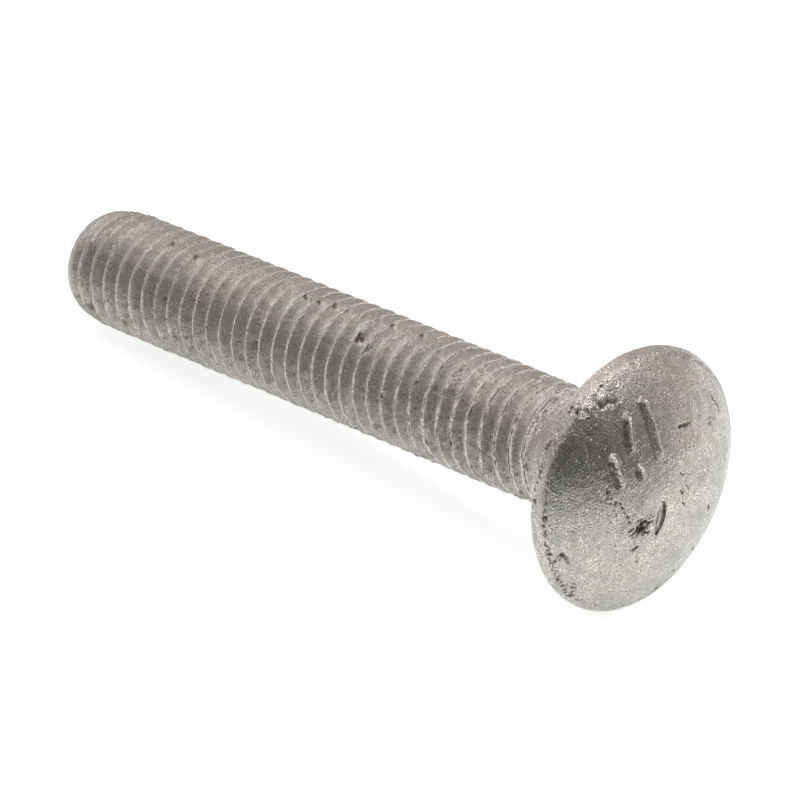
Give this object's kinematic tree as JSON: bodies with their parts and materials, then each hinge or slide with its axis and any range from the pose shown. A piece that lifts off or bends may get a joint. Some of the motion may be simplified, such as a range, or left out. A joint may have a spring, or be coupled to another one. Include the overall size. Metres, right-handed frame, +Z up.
{
  "type": "carriage bolt",
  "caption": "Galvanised steel carriage bolt: a domed round head over a square neck that keeps it from turning, and a coarse right-hand thread up to the neck.",
  "frame": {"origin": "on the ground under the middle of the bolt as it lies: the bottom centre of its bounding box", "axes": "+X from the head to the point along the ground, +Z up; the bolt's own axis drops 5.3 degrees towards the point"},
  "size_m": [0.067, 0.0206, 0.0204],
  "materials": {
    "galvanised_steel": "matt hot-dip zinc coat, pitted, with specks of brown rust at the rim"
  },
  "bodies": {
    "root": {"carriage_bolt": "galvanised_steel"}
  },
  "joints": []
}
